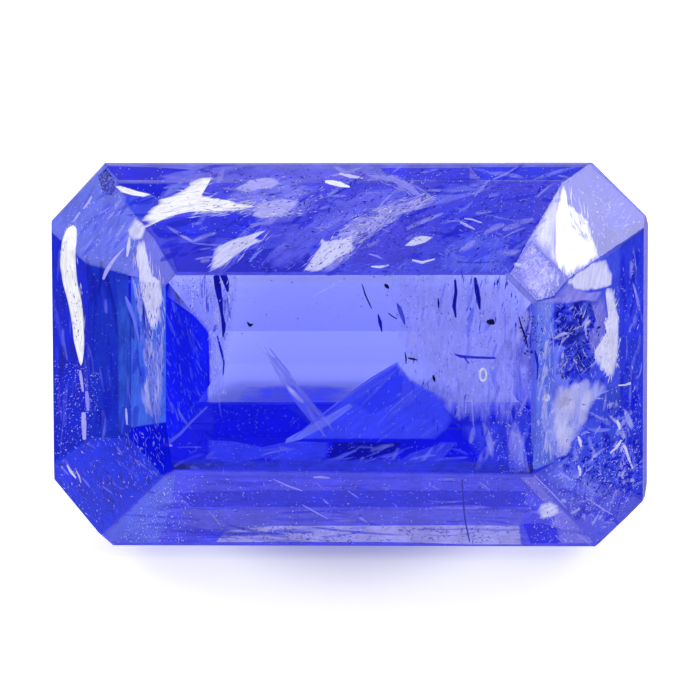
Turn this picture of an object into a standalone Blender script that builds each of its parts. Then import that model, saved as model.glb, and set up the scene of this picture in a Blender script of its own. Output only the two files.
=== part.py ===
# A step-cut tanzanite: one octagonal stone, sixteen millimetres long, lying on a long back facet.
# The stone is ground from a block by flat cuts, as a cutter grinds it, facet by facet.
# In the stone's own frame +X runs along its length, +Y up its face and +Z out of the table.

import math

import bmesh
import bpy
from mathutils import Vector

MM = 0.001

# The girdle's upper edge is the zero of all heights, in millimetres.
TABLE_HEIGHT = 1.90
GIRDLE_BAND = 0.32
WIDE_GIRDLE_BAND = 0.60
WIDE_GIRDLE_ANGLE = 78.0

# The facet that the stone lies on, and its angle from the girdle plane in degrees.
REST_SIDE = "front"
REST_STEP = 2

# The block that the stone is cut from, well outside every facet.
BLOCK_SIZE = 30.0

# Cuts closer together than this, in millimetres, share a corner.
MERGE_DISTANCE = 0.003

# Direction of each of the eight sides in degrees, and how far its girdle stands from the middle.
GIRDLE = {
    "right": (0.0, 7.91),
    "back right": (45.0, 8.32),
    "back": (90.0, 5.24),
    "back left": (137.5, 8.34),
    "left": (180.0, 7.95),
    "front left": (220.6, 8.26),
    "front": (270.0, 5.25),
    "front right": (314.8, 8.40),
}

# Crown facets: direction, angle from the girdle plane, and where the facet's plane, carried on,
# meets the height of the girdle edge. The corner facets are a little twisted and uneven,
# as a stone cut by hand has them.
CROWN = {
    "right": [(359.7, 35.0, 7.92), (359.5, 22.3, 9.65)],
    "back right": [(44.0, 32.5, 8.18), (43.9, 25.6, 8.93)],
    "back": [(90.0, 51.2, 5.20), (90.1, 36.8, 5.43), (90.1, 28.0, 6.23)],
    "back left": [(146.3, 34.5, 8.45), (137.3, 25.3, 9.18)],
    "left": [(180.0, 40.0, 7.90), (179.6, 32.2, 8.23), (179.6, 21.3, 9.75)],
    "front left": [(204.0, 33.4, 8.41), (188.8, 20.75, 10.06)],
    "front": [(269.4, 39.0, 5.11)],
    "front right": [(311.0, 32.6, 8.34), (327.3, 31.1, 8.79)],
}

# Pavilion steps, from the girdle down to the keel: angle and width in plan.
# The last step of each side runs on until the other sides cut it off.
PAVILION = {
    "right": [(62.0, 0.65), (48.0, 1.60), (37.0, 1.95), (28.0, None)],
    "back right": [(60.0, 0.80), (45.0, 1.60), (30.0, None)],
    "back": [(66.0, 0.65), (53.0, 0.80), (28.0, 3.50), (20.0, None)],
    "back left": [(60.0, 0.80), (45.0, 1.60), (30.0, None)],
    "left": [(62.0, 0.65), (48.0, 1.60), (37.0, 1.95), (28.0, None)],
    "front left": [(60.0, 0.80), (46.0, None)],
    "front": [(60.0, 0.60), (50.0, 1.15), (44.0, 1.85), (28.0, None)],
    "front right": [(60.0, 0.80), (46.0, None)],
}


def facet_normal(azimuth, angle, downward=False):
    """Outward direction of a facet that falls away at an angle from the girdle plane."""
    turn = math.radians(azimuth)
    tilt = math.radians(angle)
    rise = -math.cos(tilt) if downward else math.cos(tilt)
    return Vector((math.sin(tilt) * math.cos(turn), math.sin(tilt) * math.sin(turn), rise))


def cut_facet(bm, normal, point):
    """Grind away all that lies beyond a plane, and close the stone with the new facet."""
    geometry = bm.verts[:] + bm.edges[:] + bm.faces[:]
    result = bmesh.ops.bisect_plane(
        bm, geom=geometry, dist=1e-5, plane_co=point, plane_no=normal, clear_outer=True)
    rim = [item for item in result["geom_cut"] if isinstance(item, bmesh.types.BMEdge)]
    if rim:
        bmesh.ops.edgeloop_fill(bm, edges=rim)


def point_at(azimuth, reach, height):
    """A point at a distance from the stone's middle, in a direction, at a height."""
    turn = math.radians(azimuth)
    return Vector((reach * math.cos(turn), reach * math.sin(turn), height))


def cut_table(bm):
    cut_facet(bm, Vector((0.0, 0.0, 1.0)), Vector((0.0, 0.0, TABLE_HEIGHT)))


def girdle_foot(side):
    """Distance and height of the lower edge of a side's girdle band."""
    azimuth, reach = GIRDLE[side]
    if side != "right":
        return reach, -GIRDLE_BAND
    lean = WIDE_GIRDLE_BAND / math.tan(math.radians(WIDE_GIRDLE_ANGLE))
    return reach + lean, -WIDE_GIRDLE_BAND


def cut_girdle(bm):
    """The upright band around the stone, which leans outwards on the right end."""
    for side, (azimuth, reach) in GIRDLE.items():
        angle = WIDE_GIRDLE_ANGLE if side == "right" else 90.0
        cut_facet(bm, facet_normal(azimuth, angle), point_at(azimuth, reach, 0.0))


def cut_crown(bm):
    for facets in CROWN.values():
        for azimuth, angle, reach in facets:
            cut_facet(bm, facet_normal(azimuth, angle), point_at(azimuth, reach, 0.0))


def pavilion_steps(side):
    """Angle, distance and height of the outer edge of each pavilion step of a side."""
    reach, height = girdle_foot(side)
    steps = []
    for angle, width in PAVILION[side]:
        steps.append((angle, reach, height))
        if width is not None:
            reach -= width
            height -= width * math.tan(math.radians(angle))
    return steps


def cut_pavilion(bm):
    for side in PAVILION:
        azimuth = GIRDLE[side][0]
        for angle, reach, height in pavilion_steps(side):
            cut_facet(bm, facet_normal(azimuth, angle, True), point_at(azimuth, reach, height))


def cut_stone():
    """The whole stone as one closed mesh in its own frame, in millimetres."""
    bm = bmesh.new()
    bmesh.ops.create_cube(bm, size=BLOCK_SIZE)
    cut_table(bm)
    cut_girdle(bm)
    cut_crown(bm)
    cut_pavilion(bm)
    bmesh.ops.remove_doubles(bm, verts=bm.verts[:], dist=MERGE_DISTANCE)
    bmesh.ops.recalc_face_normals(bm, faces=bm.faces[:])
    bmesh.ops.scale(bm, vec=(MM, MM, MM), verts=bm.verts[:])
    mesh = bpy.data.meshes.new("tanzanite")
    bm.to_mesh(mesh)
    bm.free()
    return mesh


def lay_down(stone):
    """Turn the stone onto its resting facet, with the middle of its box over the origin."""
    stone.rotation_euler = (math.radians(PAVILION[REST_SIDE][REST_STEP][0]), 0.0, 0.0)
    turn = stone.rotation_euler.to_matrix()
    corners = [turn @ vertex.co for vertex in stone.data.vertices]
    low = [min(corner[axis] for corner in corners) for axis in range(3)]
    high = [max(corner[axis] for corner in corners) for axis in range(3)]
    stone.location = (-(low[0] + high[0]) / 2, -(low[1] + high[1]) / 2, -low[2])


def gem_material():
    """Clear violet blue, polished."""
    material = bpy.data.materials.new("violet blue zoisite")
    material.use_nodes = True
    shader = material.node_tree.nodes["Principled BSDF"]
    shader.inputs["Base Color"].default_value = (0.05, 0.06, 0.72, 1.0)
    shader.inputs["Metallic"].default_value = 0.0
    shader.inputs["Roughness"].default_value = 0.02
    shader.inputs["IOR"].default_value = 1.69
    shader.inputs["Transmission Weight"].default_value = 1.0
    return material


def build():
    for old in list(bpy.data.objects):
        bpy.data.objects.remove(old, do_unlink=True)
    collection = bpy.data.collections.new("tanzanite gem")
    bpy.context.scene.collection.children.link(collection)
    stone = bpy.data.objects.new("tanzanite", cut_stone())
    stone.data.materials.append(gem_material())
    collection.objects.link(stone)
    lay_down(stone)


build()
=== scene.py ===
import math

import bmesh
import bpy
import numpy as np
from mathutils import Matrix, Vector


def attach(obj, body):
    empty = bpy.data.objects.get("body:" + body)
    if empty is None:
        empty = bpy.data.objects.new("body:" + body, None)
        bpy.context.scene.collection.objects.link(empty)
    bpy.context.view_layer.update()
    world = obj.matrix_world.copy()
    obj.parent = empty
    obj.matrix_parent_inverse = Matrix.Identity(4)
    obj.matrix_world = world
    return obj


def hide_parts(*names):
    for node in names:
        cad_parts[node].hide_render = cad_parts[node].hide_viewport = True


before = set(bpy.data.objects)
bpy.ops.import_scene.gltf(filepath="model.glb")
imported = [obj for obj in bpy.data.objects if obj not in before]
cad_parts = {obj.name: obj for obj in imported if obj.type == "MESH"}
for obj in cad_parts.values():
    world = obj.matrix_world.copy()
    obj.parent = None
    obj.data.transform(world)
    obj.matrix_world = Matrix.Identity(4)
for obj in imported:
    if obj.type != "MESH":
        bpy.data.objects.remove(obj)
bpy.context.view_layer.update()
print("frame loaded")

mm = 0.001

# How the stone lies. Its own frame has +X along the length, +Y up the face and +Z out of the table.
# It is turned about X onto its long pavilion facet; the middle is the middle of its girdle.
stonePlace = {
    "turn": 44.0,                          # degrees about X
    "middle": (-0.0438, -0.4816, 4.3949),  # millimetres from the origin on the floor
}

picture = {
    "pixel": 0.02685,           # millimetres on the stone per pixel of the 700 pixel picture
    "middle": (348.6, 356.6),   # the pixel where the middle of the girdle is seen
    "width": 700,
}

cameraSet = {
    "tilt": 12.0,    # degrees above the table's normal
    "swing": 0.8,    # degrees to the right of it
    "lens": 400.0,   # millimetres
    "sensor": 36.0,
}

stoneTurn = Matrix.Rotation(math.radians(stonePlace["turn"]), 3, "X")
stoneMiddle = np.array(stonePlace["middle"])


# Right, up and towards-camera directions in the world, for a camera tilted and swung off the table's normal.
def viewAxes():
    tilt = math.radians(cameraSet["tilt"])
    swing = math.radians(cameraSet["swing"])
    towards = Vector((math.sin(swing) * math.cos(tilt), math.sin(tilt), math.cos(swing) * math.cos(tilt)))
    up = towards.cross(Vector((1.0, 0.0, 0.0))).normalized()
    right = up.cross(towards)
    return [np.array(stoneTurn @ axis) for axis in (right, up, towards)]


viewRight, viewUp, viewTowards = viewAxes()


def makeCamera():
    pixel = picture["pixel"]
    half = picture["width"] / 2
    distance = picture["width"] * pixel * cameraSet["lens"] / cameraSet["sensor"]
    aim = stoneMiddle + viewRight * (half - picture["middle"][0]) * pixel
    aim = aim + viewUp * (picture["middle"][1] - half) * pixel
    place = aim + viewTowards * distance
    data = bpy.data.cameras.new("studioCamera")
    data.lens = cameraSet["lens"]
    data.sensor_width = cameraSet["sensor"]
    data.clip_start = 0.01
    data.clip_end = 10.0
    camera = bpy.data.objects.new("studioCamera", data)
    bpy.context.scene.collection.objects.link(camera)
    axes = Matrix((viewRight, viewUp, viewTowards)).transposed()
    camera.matrix_world = Matrix.Translation(place * mm) @ axes.to_4x4()
    bpy.context.scene.camera = camera
    return place


cameraPlace = makeCamera()
print("camera made")

# Shader node helpers: each adds one node to a tree and gives back its output. They take values or sockets.
def feed(tree, value, socket):
    if isinstance(value, bpy.types.NodeSocket):
        tree.links.new(value, socket)
    else:
        socket.default_value = value


def maths(tree, operation, a, b, clamp=False):
    node = tree.nodes.new("ShaderNodeMath")
    node.operation = operation
    node.use_clamp = clamp
    feed(tree, a, node.inputs[0])
    feed(tree, b, node.inputs[1])
    return node.outputs[0]


def scaled(tree, colour, amount):
    node = tree.nodes.new("ShaderNodeVectorMath")
    node.operation = "SCALE"
    feed(tree, colour, node.inputs[0])
    feed(tree, amount, node.inputs["Scale"])
    return node.outputs[0]


def ranged(tree, value, low=0.0, high=1.0, toLow=0.0, toHigh=1.0, smooth=False):
    node = tree.nodes.new("ShaderNodeMapRange")
    node.interpolation_type = "SMOOTHSTEP" if smooth else "LINEAR"
    feed(tree, value, node.inputs["Value"])
    for name, limit in (("From Min", low), ("From Max", high), ("To Min", toLow), ("To Max", toHigh)):
        node.inputs[name].default_value = limit
    return node.outputs["Result"]


# Studio: a white floor that glows a little, as a light table does, under a surround of soft boxes.
# Lengths are in metres from the middle of the floor.
studio = {
    "floorColour": (0.95, 0.90, 0.77),
    "floorGlow": 0.58,
    # painted shadow: the floor's glow is turned down under the stone, so that a tight contact shadow is
    # painted there
    "paintedShadowRadii": (0.0036, 0.0057),   # the glow is weaker under the stone, up to the first radius
    "paintedShadowGlow": 0.46,
    "mirrored": 0.35,   # how bright the paper looks where a facet mirrors it
    "glowTint": (1.0, 1.0, 0.97),
    "paperReach": (0.017, 0.034),   # the paper is full white to the first radius and grey past the second
    "paperEdge": 0.30,
    "floorSize": 1.2,
    "floorDrop": 0.00002,   # so that the paper doesn't share a plane with the facet that lies on it
    "roughness": 0.6,
    "shine": 0.2,
    "tint": (1.0, 1.03, 1.30),   # a cool daylight white
    "surround": 0.03,            # what is left between the boxes
}

# Each soft box: azimuth from the front (right positive), elevation, half width in degrees,
# the soft border beyond it, and its brightness.
softBoxes = {
    "backLeft": (-138.0, 27.0, 20.0, 16.0, 3.6),
    "backRight": (135.0, 32.0, 16.0, 16.0, 2.4),
    "back": (180.0, 40.0, 16.0, 16.0, 0.12),
    "left": (-88.0, 42.0, 13.0, 10.0, 0.7),
    "right": (88.0, 44.0, 12.0, 9.0, 3.9),
    "overhead": (180.0, 84.0, 18.0, 14.0, 0.10),
}


def makeFloor():
    half = studio["floorSize"]
    mesh = bpy.data.meshes.new("floor")
    corners = [(-half, -half, 0), (half, -half, 0), (half, half, 0), (-half, half, 0)]
    mesh.from_pydata(corners, [], [(0, 1, 2, 3)])
    floor = bpy.data.objects.new("floor", mesh)
    floor.location = (0, 0, -studio["floorDrop"])
    bpy.context.scene.collection.objects.link(floor)
    material = bpy.data.materials.new("whitePaper")
    material.use_nodes = True
    tree = material.node_tree
    paper = tree.nodes["Principled BSDF"]
    coords = tree.nodes.new("ShaderNodeTexCoord")
    reach = tree.nodes.new("ShaderNodeVectorMath")
    reach.operation = "LENGTH"
    tree.links.new(coords.outputs["Object"], reach.inputs[0])
    path = tree.nodes.new("ShaderNodeLightPath")
    fade = ranged(tree, reach.outputs["Value"], *studio["paperReach"], 1.0, studio["paperEdge"], smooth=True)
    # painted shadow: the glow falls to a share of itself under the stone
    rise = ranged(tree, reach.outputs["Value"], *studio["paintedShadowRadii"], studio["paintedShadowGlow"], smooth=True)
    mirrored = ranged(tree, path.outputs["Is Reflection Ray"], toLow=1.0, toHigh=studio["mirrored"])
    shown = maths(tree, "MULTIPLY", fade, mirrored)
    glowWithPaintedShadow = maths(tree, "MULTIPLY", shown, rise)
    tree.links.new(scaled(tree, studio["floorColour"], shown), paper.inputs["Base Color"])
    tree.links.new(scaled(tree, studio["glowTint"], glowWithPaintedShadow), paper.inputs["Emission Color"])
    paper.inputs["Roughness"].default_value = studio["roughness"]
    paper.inputs["Specular IOR Level"].default_value = studio["shine"]
    paper.inputs["Emission Strength"].default_value = studio["floorGlow"]
    mesh.materials.append(material)


def direction(azimuth, elevation):
    a = math.radians(azimuth)
    e = math.radians(elevation)
    return Vector((math.sin(a) * math.cos(e), -math.cos(a) * math.cos(e), math.sin(e)))


# The soft boxes are round bright patches of the surround, full to their width and fading over their border.
def makeSurround():
    world = bpy.data.worlds.new("studio")
    world.use_nodes = True
    bpy.context.scene.world = world
    tree = world.node_tree
    coords = tree.nodes.new("ShaderNodeTexCoord")
    total = studio["surround"]
    for azimuth, elevation, width, border, brightness in softBoxes.values():
        dot = tree.nodes.new("ShaderNodeVectorMath")
        dot.operation = "DOT_PRODUCT"
        tree.links.new(coords.outputs["Generated"], dot.inputs[0])
        dot.inputs[1].default_value = direction(azimuth, elevation)
        rim = math.cos(math.radians(width + border))
        core = math.cos(math.radians(width))
        patch = ranged(tree, dot.outputs["Value"], rim, core, toHigh=brightness, smooth=True)
        total = maths(tree, "ADD", patch, total)
    background = tree.nodes["Background"]
    tree.links.new(total, background.inputs["Strength"])
    background.inputs["Color"].default_value = (*studio["tint"], 1)


makeFloor()
makeSurround()
print("studio made")

gemBody = {
    "ior": 1.69,
    "density": 212.0,            # per metre
    "tint": (0.17, 0.27, 0.985),
    "arris": 0.010,              # millimetres ground off along each facet junction
    "flat": 0.3,                 # triangles that meet within this many degrees are one facet
}


def gemMaterial():
    material = bpy.data.materials.new("violetBlueGem")
    material.use_nodes = True
    tree = material.node_tree
    shader = tree.nodes["Principled BSDF"]
    shader.inputs["Base Color"].default_value = (1, 1, 1, 1)
    shader.inputs["Roughness"].default_value = 0.0
    shader.inputs["IOR"].default_value = gemBody["ior"]
    shader.inputs["Transmission Weight"].default_value = 1.0
    absorb = tree.nodes.new("ShaderNodeVolumeAbsorption")
    absorb.inputs["Color"].default_value = (*gemBody["tint"], 1)
    absorb.inputs["Density"].default_value = gemBody["density"]
    tree.links.new(absorb.outputs[0], tree.nodes["Material Output"].inputs["Volume"])
    return material


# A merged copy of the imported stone, its facets made whole and their junctions ground a little.
def makeStone(node):
    bm = bmesh.new()
    bm.from_mesh(node.data)
    bmesh.ops.remove_doubles(bm, verts=bm.verts[:], dist=1e-6)
    flat = math.radians(gemBody["flat"])
    bmesh.ops.dissolve_limit(bm, angle_limit=flat, verts=bm.verts[:], edges=bm.edges[:])
    bmesh.ops.bevel(bm, geom=bm.edges[:], offset=gemBody["arris"] * mm, segments=1,
                    affect="EDGES", clamp_overlap=True, profile=0.5)
    bmesh.ops.recalc_face_normals(bm, faces=bm.faces[:])
    mesh = bpy.data.meshes.new("cutStone")
    bm.to_mesh(mesh)
    bm.free()
    mesh.materials.append(gemMaterial())
    piece = bpy.data.objects.new("cutStone", mesh)
    bpy.context.scene.collection.objects.link(piece)
    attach(piece, "root")
    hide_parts("tanzanite")
    return piece


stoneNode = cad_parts["tanzanite"]
stone = makeStone(stoneNode)
print("stone made, faces", len(stone.data.polygons))


# Outward directions of the stone's facets and their distances in millimetres, each facet once.
def readFacets(node):
    polygons = node.data.polygons
    normals = np.zeros(len(polygons) * 3)
    centres = np.zeros(len(polygons) * 3)
    polygons.foreach_get("normal", normals)
    polygons.foreach_get("center", centres)
    normals = normals.reshape(-1, 3)
    reach = (normals * centres.reshape(-1, 3) / mm).sum(1)
    keys = np.round(np.column_stack([normals * 100, reach * 20]))  # alike for the triangles of a facet
    chosen = np.unique(keys, axis=0, return_index=True)[1]
    return normals[chosen], reach[chosen]


facetNormals, facetReach = readFacets(stoneNode)


# Lines of sight through pixels, and how far along each the camera meets each facet that faces it.
def sightLines(pixels):
    across = (pixels[:, :1] - picture["middle"][0]) * picture["pixel"]
    rise = (picture["middle"][1] - pixels[:, 1:]) * picture["pixel"]
    way = stoneMiddle + across * viewRight + rise * viewUp - cameraPlace
    way = way / np.linalg.norm(way, axis=1, keepdims=True)
    fall = way @ facetNormals.T
    run = (facetReach - facetNormals @ cameraPlace) / np.where(np.abs(fall) < 1e-9, 1e-9, fall)
    return way, fall, np.where(fall < 0, run, -np.inf)


# How near to a facet the things sealed in the stone may come, in millimetres.
sealedGap = {
    "far": 0.05,       # before the facet where the line of sight leaves
    "beside": 0.015,   # inside any other facet
    "skin": 0.004,     # under the facet looked through
}


# Where a thing lies inside the stone that is seen at a pixel: the line of sight is bent by Snell's law
# at the first facet it meets (or at the facet seen at the anchor pixel), and followed for the depth.
def seenPlace(pixels, depth, anchor=None):
    pixels = np.atleast_2d(np.asarray(pixels, float))
    depth = np.broadcast_to(np.asarray(depth, float), pixels.shape[:1])
    way, fall, runs = sightLines(pixels)
    if anchor is None:
        facet = runs.argmax(1)
    else:
        anchors = np.broadcast_to(np.atleast_2d(np.asarray(anchor, float)), pixels.shape)
        facet = sightLines(anchors)[2].argmax(1)
    rows = np.arange(len(way))
    start = cameraPlace + way * runs[rows, facet][:, None]
    normal = facetNormals[facet]
    cosine = -fall[rows, facet]
    bend = 1 / gemBody["ior"]
    inner = np.sqrt(1 - bend ** 2 * (1 - cosine ** 2))
    way = bend * way + (bend * cosine - inner)[:, None] * normal
    leave = way @ facetNormals.T
    room = (facetReach - start @ facetNormals.T) / np.maximum(leave, 1e-9)
    room = np.where(leave > 1e-9, room, np.inf).min(1)
    place = start + way * np.clip(depth, 0, np.maximum(room - sealedGap["far"], 0))[:, None]
    for _ in range(3):  # draw in what still stands out past a neighbouring facet
        over = place @ facetNormals.T - facetReach + sealedGap["beside"]
        worst = over.argmax(1)
        push = np.maximum(over[rows, worst], 0)
        place = place - push[:, None] * facetNormals[worst]
    return place * mm


# A colour given as it looks on a screen, 0 to 255, turned to scene-linear light.
def paint(*screen):
    values = np.array(screen) / 255.0
    return tuple(np.where(values <= 0.04045, values / 12.92, ((values + 0.055) / 1.055) ** 2.4))


tints = {
    "white": paint(252, 252, 255), "snow": paint(236, 236, 254), "silver": paint(212, 213, 252),
    "lilac": paint(178, 176, 250), "lavender": paint(142, 140, 244), "pale": paint(140, 146, 254),
    "sky": paint(108, 122, 250), "mid": paint(82, 90, 246), "blue": paint(54, 67, 250),
    "royal": paint(28, 36, 235), "deep": paint(12, 17, 200), "navy": paint(9, 11, 135),
    "ink": paint(6, 7, 60),
}


# The faces of a grid of points that closes on itself around.
def bandFaces(rows, around):
    i = np.arange(rows - 1)[:, None] * around
    j = np.arange(around)[None, :]
    k = (j + 1) % around
    return np.stack([i + j, i + k, i + around + k, i + around + j], -1).reshape(-1, 4)


# What is sealed in the stone is gathered as parts: points, faces, grain coordinates, edge, opacity and tint.
# Outlines, paths, lengths and widths are in pixels of the picture, as seen from the camera. Depths and
# thicknesses are in millimetres along the bent line of sight, and grain coordinates in millimetres.
def gridPart(points, grain, edge, opacity, tint):
    rows, around = points.shape[:2]
    count = rows * around
    return {
        "points": points.reshape(-1, 3),
        "faces": bandFaces(rows, around),
        "grain": grain.reshape(-1, 2),
        "edge": np.broadcast_to(edge, (rows, around)).reshape(-1),
        "opacity": np.full(count, opacity),
        "tint": np.tile((*tint, 1.0), (count, 1)),
    }


# One mesh from many parts. Rings drawn together at a pole are merged, and the faces turned outwards.
def makePiece(name, parts, material, merge=True):
    points = np.concatenate([part["points"] for part in parts])
    starts = np.cumsum([0] + [len(part["points"]) for part in parts[:-1]])
    faces = []
    for start, part in zip(starts, parts):
        faces.extend((part["faces"] + start).tolist())
    mesh = bpy.data.meshes.new(name)
    mesh.from_pydata(points.tolist(), [], faces)
    for key, kind, field in (("edge", "FLOAT", "value"), ("opacity", "FLOAT", "value"),
                             ("tint", "FLOAT_COLOR", "color")):
        values = np.concatenate([part[key] for part in parts])
        layer = mesh.attributes.new(key, kind, "POINT")
        layer.data.foreach_set(field, values.astype(np.float32).ravel())
    grain = np.concatenate([part["grain"] for part in parts])
    corners = np.zeros(len(mesh.loops), np.int64)
    mesh.loops.foreach_get("vertex_index", corners)
    sheet = mesh.uv_layers.new(name="grain")
    sheet.data.foreach_set("uv", grain[corners].astype(np.float32).ravel())
    bm = bmesh.new()
    bm.from_mesh(mesh)
    if merge:
        bmesh.ops.remove_doubles(bm, verts=bm.verts[:], dist=2e-7)
    bmesh.ops.recalc_face_normals(bm, faces=bm.faces[:])
    bm.to_mesh(mesh)
    bm.free()
    mesh.shade_smooth()
    mesh.materials.append(material)
    piece = bpy.data.objects.new(name, mesh)
    bpy.context.scene.collection.objects.link(piece)
    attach(piece, "root")
    print(name, "made, faces", len(mesh.polygons))
    return piece


def turned(points, angle):
    a = math.radians(angle)
    across = points[..., 0] * math.cos(a) - points[..., 1] * math.sin(a)
    rise = points[..., 0] * math.sin(a) + points[..., 1] * math.cos(a)
    return np.stack([across, rise], -1)


# A thin closed lens under an outline: rings shrink from the rim to the middle above and back below,
# and the lower side hangs by thick * (1 - r squared).
def lensPart(outline, depth, tint, opacity, grain, thick, rings, around=72):
    corners = np.array(outline, float)
    closed = np.vstack([corners, corners[:1]])
    walk = np.concatenate([[0], np.cumsum(np.linalg.norm(np.diff(closed, axis=0), axis=1))])
    at = np.linspace(0, walk[-1], around, endpoint=False)
    nearest = np.round(walk[:-1] / walk[-1] * around).astype(int) % around
    at[nearest] = walk[:-1]  # the corners stay sharp
    rim = np.stack([np.interp(at, walk, closed[:, 0]), np.interp(at, walk, closed[:, 1])], -1)
    middle = rim.mean(0)
    r = np.concatenate([np.linspace(0, 1, rings + 1), np.linspace(1, 0, rings + 1)[1:]])
    lower = np.concatenate([np.zeros(rings + 1), np.ones(rings)])
    pixels = middle + r[:, None, None] * (rim - middle)
    sink = np.broadcast_to(depth + (lower * thick * (1 - r ** 2))[:, None], pixels.shape[:2])
    points = seenPlace(pixels.reshape(-1, 2), sink.reshape(-1), middle).reshape(*pixels.shape[:2], 3)
    streaks = turned((pixels - middle) * picture["pixel"], grain)
    return gridPart(points, streaks + middle * picture["pixel"], r[:, None], opacity, tint)


# A closed flattened tube along a path of (x, y, half width): across = half width * cos, depth = thick * sin.
def ribbonPart(path, depth, tint, thick, steps=36, around=8):
    path = np.array(path, float)
    walk = np.concatenate([[0], np.cumsum(np.linalg.norm(np.diff(path[:, :2], axis=0), axis=1))])
    at = np.linspace(0, walk[-1], steps)
    line = np.stack([np.interp(at, walk, path[:, 0]), np.interp(at, walk, path[:, 1])], -1)
    soft = np.array([1, 2, 3, 2, 1]) / 9.0  # rounds off the path's corners
    for axis in (0, 1):
        padded = np.concatenate([2 * line[0, axis] - line[2:0:-1, axis], line[:, axis],
                                 2 * line[-1, axis] - line[-2:-4:-1, axis]])
        line[:, axis] = np.convolve(padded, soft, "valid")
    half = np.interp(at, walk, path[:, 2])
    half[0] = half[-1] = 0
    along = np.gradient(line, axis=0)
    along = along / np.linalg.norm(along, axis=1, keepdims=True)
    side = np.stack([-along[:, 1], along[:, 0]], -1)
    angle = np.linspace(0, 2 * np.pi, around, endpoint=False)
    pixels = line[:, None, :] + side[:, None, :] * (half[:, None] * np.cos(angle))[..., None]
    fullness = np.minimum(half / max(half.max(), 1e-6), 1)[:, None]
    sink = depth + thick * np.sin(angle)[None, :] * fullness
    middle = line[steps // 2]
    points = seenPlace(pixels.reshape(-1, 2), sink.reshape(-1), middle).reshape(*pixels.shape[:2], 3)
    streaks = np.stack(np.broadcast_arrays(at[:, None], half[:, None] * np.cos(angle)), -1) * picture["pixel"]
    edge = np.abs(np.cos(angle))[None, :]
    return gridPart(points, streaks + middle * picture["pixel"], edge, 1.0, tint)


# True for points inside a closed outline, by the count of its sides crossed on the way out.
def within(points, outline):
    a = np.array(outline, float)
    b = np.roll(a, -1, axis=0)
    x, y = points[:, :1], points[:, 1:]
    spans = (a[:, 1] > y) != (b[:, 1] > y)
    height = np.where(b[:, 1] == a[:, 1], 1e-9, b[:, 1] - a[:, 1])
    crossing = a[:, 0] + (y - a[:, 1]) / height * (b[:, 0] - a[:, 0])
    return ((spans & (x < crossing)).sum(1) % 2) == 1


# Many small things strewn inside an outline: their places, half lengths, half widths, depths, directions
# along and across, and tints.
def strewn(draw, outline, count, length, width, depth, angle, spread, first, second):
    outline = np.array(outline, float)
    tries = draw.uniform(outline.min(0), outline.max(0), (count * 6, 2))
    middles = tries[within(tries, outline)][:count]
    count = len(middles)
    half = np.exp(draw.uniform(np.log(length[0]), np.log(length[1]), count))
    thin = np.minimum(np.exp(draw.uniform(np.log(width[0]), np.log(width[1]), count)), half)
    turn = np.radians(angle + spread * draw.normal(0, 1, count))
    sink = draw.uniform(depth[0], depth[1], count)
    along = np.stack([np.cos(turn), -np.sin(turn)], -1)
    side = np.stack([np.sin(turn), np.cos(turn)], -1)
    mix = draw.uniform(0, 1, count)[:, None]
    tint = np.array(tints[first]) * (1 - mix) + np.array(tints[second]) * mix
    return middles, half, thin, sink, along, side, np.column_stack([tint, np.ones(count)])


# Many small spindles: each is an eight-sided grain with its ends, sides, top and bottom on three axes.
def grainPart(row):
    *plot, seed = row
    middles, half, thin, sink, along, side, tint = strewn(np.random.default_rng(seed), *plot)
    count = len(middles)
    pixel = picture["pixel"]
    shifts = [along * half[:, None], -along * half[:, None], side * thin[:, None], -side * thin[:, None]]
    ends = [seenPlace(middles + shift, sink, middles) for shift in shifts]
    ends.append(seenPlace(middles, sink + thin * pixel, middles))
    ends.append(seenPlace(middles, np.maximum(sink - thin * pixel, sealedGap["skin"]), middles))
    corner = np.array([[0, 2, 4], [2, 1, 4], [1, 3, 4], [3, 0, 4],
                       [2, 0, 5], [1, 2, 5], [3, 1, 5], [0, 3, 5]])
    return {
        "points": np.stack(ends, 1).reshape(-1, 3),
        "faces": (np.arange(count)[:, None, None] * 6 + corner).reshape(-1, 3),
        "grain": np.repeat(middles * pixel, 6, axis=0),
        "edge": np.zeros(count * 6),
        "opacity": np.ones(count * 6),
        "tint": np.repeat(tint, 6, axis=0),
    }


streakForm = {
    "bow": 0.12,      # the most that a streak bows sideways, as a share of its half length
    "thick": 0.006,   # millimetres
    "faintest": 0.5,  # share of the plot's opacity that the faintest streak has
    "steps": 9,
    "around": 8,
}


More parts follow.
